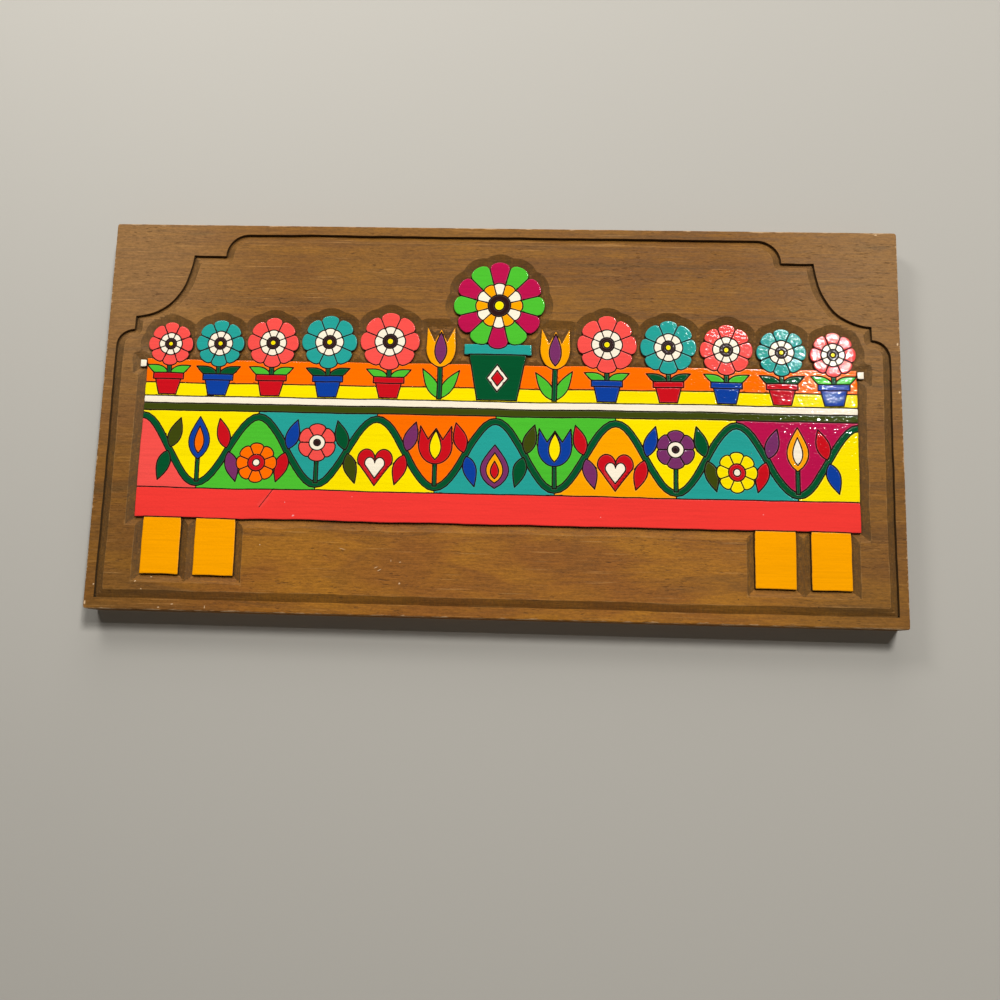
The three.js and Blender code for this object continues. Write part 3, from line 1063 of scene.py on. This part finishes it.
fill(Rings=rings, Fibres=long_noise(grain, 15, 1.0, 5, 0.75), Speckle=long_noise(grain, 2.0, 0.8, 3, 0.7),
     Pale=pale_lines, Pores=calc(grain, "MULTIPLY", pore_dashes, pore_fields),
     Blotches=long_noise(grain, 60, 26, 2, 0.5))
print("grain group has", len(grain.nodes), "nodes")

# %% [markdown]
# ## Brush marks
#
# The enamel was laid on with a flat brush, mostly along the board. Its hairs left fine ridges,
# and the paint skinned over them with a slight orange peel that breaks up every reflection.

# %% Group: brush marks
brush_marks, _, fill = new_group("brush_marks", {}, ("Streaks", "Height"))
streaks = long_noise(brush_marks, 24, 0.8, 3, 0.6)
ridges = calc(brush_marks, "MULTIPLY", long_noise(brush_marks, 24, 1.6, 1, 0.5), 0.5)
peel = calc(brush_marks, "MULTIPLY", long_noise(brush_marks, 1.7, 1.3, 1, 0.4), 1.1)
fill(Streaks=streaks, Height=calc(brush_marks, "ADD", ridges, peel))
print("brush marks group has", len(brush_marks.nodes), "nodes")

# %% [markdown]
# ## Nicks
#
# Years of handling left small pale nicks in the wood and in the paint. Each is a small leaning
# ellipse at its own place on the board, with a ragged edge.

# %% Group: nick
nick, given, fill = new_group("nick", {"Place": "Vector", "Size": "Vector", "Lean": "Float"}, ("Mask",))
place = put(nick, "TexCoord").outputs["Object"]
offset = put(nick, "VectorMath", {0: place, 1: given["Place"]}, operation="SUBTRACT").outputs[0]
leaned = put(nick, "VectorRotate", {"Vector": offset, "Axis": (0, 1, 0), "Angle": given["Lean"]}).outputs[0]
scaled = put(nick, "VectorMath", {0: leaned, 1: given["Size"]}, operation="DIVIDE").outputs[0]
distance = put(nick, "VectorMath", {0: scaled}, operation="LENGTH").outputs["Value"]
ragged = calc(nick, "ADD", distance, long_noise(nick, 0.7, 0.5, 2))
fill(Mask=spread(nick, ragged, 0.75, 1.35, 1.0, 0.0))
print("nick group has", len(nick.nodes), "nodes")


# %% Place nicks
NICK_REACH = 10.0


def nicks(tree, list_of_nicks):
    """One mask for several nicks, each with its place, length, width and lean on the bench."""
    masks = []
    for x, y, length, width, lean in list_of_nicks:
        place = FROM_BENCH @ Vector((x, y, 0))
        size = (length / 2 * MM, NICK_REACH * MM, width / 2 * MM)
        masks.append(use(tree, nick, {"Place": place, "Size": size, "Lean": radians(lean)})["Mask"])
    total = masks[0]
    for mask in masks[1:]:
        total = calc(tree, "MAXIMUM", total, mask)
    return total


# %% [markdown]
# ## Stained wood
#
# The stain is thin, so the grain shows through it: golden in the wide rings, russet and olive in
# the narrow ones. It is darker towards the top and the ends, and the upper corners are blended
# towards a paler brown, a painted sheen of reflected light. Chiselled slopes are darker, with fine
# marks where the chisel chattered, and upright knife cuts darker still: partly a deeper stain and
# partly painted shade, while slopes that face up are painted lighter. The ridges of straight
# slopes are painted paler, as rubbed wood and as a painted highlight. The eased edges have been
# rubbed back towards bare wood, in places rather than evenly.

# %% Material: stained wood
GOLDEN = (0.345, 0.137, 0.012)
RUSSET = (0.250, 0.089, 0.013)
OLIVE_BROWN = (0.120, 0.061, 0.016)
# A deep brown for stain and painted shade in the cuts and on the slopes.
DEEP_STAIN_AND_SHADE = (0.080, 0.046, 0.018)
# A paler brown for the painted sheen of reflected light in the upper corners.
PAINTED_SHEEN = (0.34, 0.20, 0.09)
PORE = (0.055, 0.022, 0.007)
PALE_LINE = (0.50, 0.26, 0.08)
BARE_WOOD = (0.70, 0.47, 0.26)
WOOD_NICKS = (
    (-64.6, 26.9, 3.4, 0.6, 27), (-62.6, 25.5, 3.8, 0.6, 27), (-51.1, 18.3, 1.8, 1.5, 50), (-56.3, 30.9, 0.6, 1.6, 0),
    (-51.2, 30.2, 1.9, 0.6, 15), (-84.1, 36.9, 6.0, 0.4, -14), (-130.6, 38.1, 1.0, 1.0, 0), (-191.4, 18.7, 1.7, 0.9, 0),
    (-199.9, 16.0, 1.8, 1.0, 30), (-178.0, 3.7, 2.2, 0.9, 10), (-185.5, 1.7, 1.9, 1.0, 0), (-159.5, 2.4, 0.7, 2.6, 0),
    (-227.4, 3.4, 1.6, 3.4, 0), (226.8, 161.0, 1.6, 2.6, 0), (227.0, 133.0, 1.4, 2.0, 0), (216.5, 226.4, 3.0, 1.2, 0),
    (-223.3, 13.8, 1.2, 1.6, 0), (-196.2, 11.7, 1.4, 0.9, 0),
)
DARK_SPECKS = ((179.2, 11.0, 1.3, 1.0, 0), (218.5, 7.9, 1.0, 1.0, 0), (135.8, 14.2, 0.9, 1.1, 0), (179.3, 4.0, 3.4, 0.8, 0))
DARK_STREAKS = ((196.0, 196.5, 66.0, 3.0, 0), (168.0, 202.5, 44.0, 2.6, 0), (214.0, 219.0, 40.0, 5.0, 0),
                (-178.0, 222.0, 30.0, 3.0, 0))
HIGH_UP = (-0.130, 0.010)
FAR_OUT = (0.120, 0.215)


def stained_wood():
    material = bpy.data.materials.new("stained_wood")
    material.use_nodes = True
    tree = material.node_tree
    shader = tree.nodes["Principled BSDF"]
    figure = use(tree, grain)
    slope, knife_cut, wear, ridge = [layer(tree, name) for name in ("slope_stain_and_shading", "knife", "worn", "ridge")]
    place = put(tree, "SeparateXYZ", {0: put(tree, "TexCoord").outputs["Object"]}).outputs
    high = spread(tree, place[2], *HIGH_UP)
    outer = spread(tree, calc(tree, "ABSOLUTE", place[0]), *FAR_OUT)

    tone = calc(tree, "ADD", calc(tree, "MULTIPLY", figure["Rings"], 0.65),
                calc(tree, "MULTIPLY", figure["Blotches"], 0.6))
    colour = blend(tree, spread(tree, tone, 0.5, 0.76), GOLDEN, RUSSET)
    colour = blend(tree, spread(tree, figure["Rings"], 0.52, 0.72, 0.0, 0.7), colour, OLIVE_BROWN)
    colour = blend(tree, calc(tree, "MULTIPLY", calc(tree, "MAXIMUM", high, outer), 0.5), colour, OLIVE_BROWN)
    colour = blend(tree, calc(tree, "MULTIPLY", nicks(tree, DARK_STREAKS), 0.6), colour, OLIVE_BROWN)
    # Painted sheen: the upper corners are blended towards a paler brown that stands in for reflected light.
    colour = blend(tree, calc(tree, "MULTIPLY", calc(tree, "MULTIPLY", high, outer), 0.35), colour, PAINTED_SHEEN)
    colour = blend(tree, calc(tree, "MULTIPLY", figure["Pale"], 0.38), colour, PALE_LINE)
    bright = calc(tree, "ADD", spread(tree, figure["Fibres"], 0.3, 0.7, 0.29, 0.71),
                  spread(tree, figure["Speckle"], 0.3, 0.7, 0.34, 0.66))
    colour = put(tree, "HueSaturation", {"Value": bright, "Color": colour}).outputs[0]
    dark = calc(tree, "MAXIMUM", calc(tree, "MULTIPLY", figure["Pores"], 0.6), nicks(tree, DARK_SPECKS))
    colour = blend(tree, dark, colour, PORE)
    chatter = spread(tree, long_noise(tree, 0.9, 3.5, 2), 0.35, 0.65, 0.42, 0.72)
    # Slopes and upright cuts are darkened: a deeper stain and painted shade, less on slopes that face up.
    stain_and_shade = calc(tree, "ADD", calc(tree, "MULTIPLY", slope, chatter), calc(tree, "MULTIPLY", knife_cut, 0.9))
    colour = blend(tree, stain_and_shade, colour, DEEP_STAIN_AND_SHADE)
    # Ridges painted paler as rubbed wood and as a painted highlight; the worn board edges below are real wear.
    rubbed_and_highlight = spread(tree, calc(tree, "ADD", ridge, long_noise(tree, 9, 5, 3)), 1.15, 1.7, 0.0, 0.35)
    colour = blend(tree, rubbed_and_highlight, colour, PALE_LINE)
    rubbed_and_highlight = calc(tree, "ADD", wear, calc(tree, "MULTIPLY", long_noise(tree, 7, 1.6, 3, 0.6), 1.6))
    rubbed_and_highlight = spread(tree, rubbed_and_highlight, 1.55, 1.9, 0.0, 0.6)
    colour = blend(tree, calc(tree, "MAXIMUM", rubbed_and_highlight, nicks(tree, WOOD_NICKS)), colour, BARE_WOOD)
    tree.links.new(colour, shader.inputs["Base Color"])

    dull = calc(tree, "ADD", calc(tree, "MULTIPLY", slope, 0.15), spread(tree, figure["Fibres"], 0.3, 0.7, 0.48, 0.66))
    tree.links.new(dull, shader.inputs["Roughness"])
    shader.inputs["Specular IOR Level"].default_value = 0.13
    relief = calc(tree, "SUBTRACT", calc(tree, "ADD", figure["Fibres"], figure["Speckle"]), figure["Pores"])
    bump = put(tree, "Bump", {"Strength": 0.6, "Distance": 0.15 * MM, "Height": relief})
    tree.links.new(bump.outputs[0], shader.inputs["Normal"])
    return material


board_piece = finish_piece("stained_board", board, stained_wood(), CRISP)
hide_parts("carved_board")

# %% [markdown]
# ## Gloss enamel
#
# Each colour is the same paint with another pigment, so one function makes them all. Where the
# paint ends beside a cut line, the brush left a slightly uneven edge: a little noise is added to
# the distance kept on the mesh before it is turned into a mask. Inside the cut the dark stain
# shows, and the same dark brown covers the upright sides of each plate, where it is painted shade.

# %% Material: enamel
CUT_STAIN_AND_SHADE = (0.030, 0.010, 0.005)
EDGE_WOBBLE = 0.3
PAINT_NICKS = ((-112.9, 55.0, 2.4, 1.5, 30), (-118.0, 62.5, 1.0, 0.8, 0), (60.0, 58.0, 0.9, 0.7, 0),
               (150.0, 61.5, 1.1, 0.7, 10), (-80.0, 66.5, 0.8, 0.6, 0))


def enamel(name, pigment):
    material = bpy.data.materials.new("enamel_" + name)
    material.use_nodes = True
    tree = material.node_tree
    shader = tree.nodes["Principled BSDF"]
    strokes, figure = use(tree, brush_marks), use(tree, grain)
    wobble = calc(tree, "MULTIPLY", calc(tree, "SUBTRACT", long_noise(tree, 3.0, 2.0, 2), 0.5), EDGE_WOBBLE)
    covered = spread(tree, calc(tree, "ADD", layer(tree, "inside"), wobble), -0.05, 0.05)

    thin = tuple(0.88 * c for c in pigment)
    pale = tuple(0.6 * c + 0.35 for c in pigment)
    streaky = calc(tree, "ADD", strokes["Streaks"], calc(tree, "MULTIPLY", figure["Blotches"], 0.5))
    colour = blend(tree, spread(tree, streaky, 0.6, 1.0, 0.0, 0.7), pigment, thin)
    colour = blend(tree, nicks(tree, PAINT_NICKS), colour, pale)
    # Dark stain in the cut lines, and painted shade on the plates' upright sides.
    colour = blend(tree, covered, CUT_STAIN_AND_SHADE, colour)
    tree.links.new(colour, shader.inputs["Base Color"])

    gloss = spread(tree, strokes["Streaks"], 0.3, 0.7, 0.03, 0.07)
    whole = spread(tree, layer(tree, "inside"), 0.0, 0.45)
    rough = put(tree, "Mix", {0: whole, 2: 0.8, 3: gloss}, data_type="FLOAT").outputs[0]
    tree.links.new(rough, shader.inputs["Roughness"])
    shader.inputs["Specular IOR Level"].default_value = 0.25
    bump = put(tree, "Bump", {"Strength": 0.6, "Distance": 0.13 * MM, "Height": strokes["Height"]})
    tree.links.new(bump.outputs[0], shader.inputs["Normal"])
    return material


# %% [markdown]
# ## Paint the relief
#
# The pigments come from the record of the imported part, where they are kept for whoever wants to
# repaint it.

# %% Make the painted pieces
pigments = {row["slot"]: tuple(row["base_color"]) for row in frame["record"]["materials"]}
for name, patches in enamel_patches.items():
    coat = bmesh.new()
    inside = coat.verts.layers.float.new("inside")
    for field in fields_of(patches):
        add_plate(coat, field, inside)
    slot = "enamel_" + name
    finish_piece(slot, coat, enamel(name, pigments[slot]), ROUNDED)

# %% [markdown]
# ## The stage
#
# A plain pale wall stands just behind the plaque and runs down to a pale floor. The wall only
# shows itself to the camera, and only from the front: seen from behind, or by light that
# bounces, it isn't there, so the plaque's back can be looked at too.

# %% Wall and floor
STAGE_HALF = 3.0
WALL_GAP = 0.001
FLOOR_DROP = 1.3
STAGE_GREY = (0.46, 0.435, 0.385)


def plain_stage(name, matrix, front_only):
    sheet = bmesh.new()
    bmesh.ops.create_grid(sheet, x_segments=1, y_segments=1, size=STAGE_HALF, matrix=matrix)
    mesh = bpy.data.meshes.new(name)
    sheet.to_mesh(mesh)
    sheet.free()
    material = bpy.data.materials.new(name)
    material.use_nodes = True
    tree = material.node_tree
    shader = tree.nodes["Principled BSDF"]
    shader.inputs["Base Color"].default_value = (*STAGE_GREY, 1)
    shader.inputs["Roughness"].default_value = 0.9
    if front_only:
        seen = put(tree, "LightPath").outputs["Is Camera Ray"]
        front = calc(tree, "SUBTRACT", 1.0, put(tree, "NewGeometry").outputs["Backfacing"])
        clear = put(tree, "BsdfTransparent").outputs[0]
        mix = put(tree, "MixShader", {0: calc(tree, "MULTIPLY", seen, front), 1: clear, 2: shader.outputs[0]})
        tree.links.new(mix.outputs[0], tree.nodes["Material Output"].inputs["Surface"])
    mesh.materials.append(material)
    piece = bpy.data.objects.new(name, mesh)
    bpy.context.scene.collection.objects.link(piece)


plain_stage("wall", Matrix.Translation((0, WALL_GAP, 0)) @ Matrix.Rotation(pi / 2, 4, "X"), True)
plain_stage("floor", Matrix.Translation((0, 0, -FLOOR_DROP)), False)

# %% [markdown]
# ## Light
#
# The shadow below the board tells where the light comes from. It is black for three millimetres
# and then fades over ten, and its two ends fade in different ways: a large lamp stands far off
# to the right, and a smaller one near by on the left. A third, at the ceiling, fills in. All of
# them keep out of the directions that the enamel mirrors to the camera, so the colours stay
# deep. A lamp behind lights the back. The last, small and bright, is mirrored by the last bloom
# on the right, which gives the glare there.

# %% Lamps and world
MIDDLE = Vector((0, board_low.y, (board_low.z + board_high.z) / 2))
GLARE_SPOT = FROM_BENCH @ Vector((191, 161, 0))


def lamp(name, target, away, bearing, height, size, power):
    """A round soft lamp at a distance from its target, turned left or right and raised by degrees."""
    level = away * cos(radians(height))
    place = Vector((level * sin(radians(bearing)), -level * cos(radians(bearing)), away * sin(radians(height))))
    data = bpy.data.lights.new(name, "AREA")
    data.shape, data.size, data.energy = "DISK", size, power
    light = bpy.data.objects.new(name, data)
    light.matrix_world = Matrix.Translation(target + place) @ place.to_track_quat("Z", "Y").to_matrix().to_4x4()
    bpy.context.scene.collection.objects.link(light)


lamp("far_right", MIDDLE, 2.4, 18, 27, 0.5, 36)
lamp("near_left", MIDDLE, 0.94, -33, 38, 0.3, 3.0)
lamp("ceiling", MIDDLE, 1.5, 0, 64, 1.0, 8)
lamp("behind", MIDDLE, 1.6, 165, 30, 1.0, 10)

ray = (GLARE_SPOT - CAMERA_PLACE).normalized()
lamp("glare", GLARE_SPOT, 2.4, degrees(atan2(ray.x, ray.y)), degrees(asin(ray.z)), 0.06, 7)

world = bpy.data.worlds.new("world")
world.use_nodes = True
world.node_tree.nodes["Background"].inputs["Color"].default_value = (1, 1, 1, 1)
world.node_tree.nodes["Background"].inputs["Strength"].default_value = 0.025
bpy.context.scene.world = world
bpy.context.scene.view_settings.view_transform = "Standard"
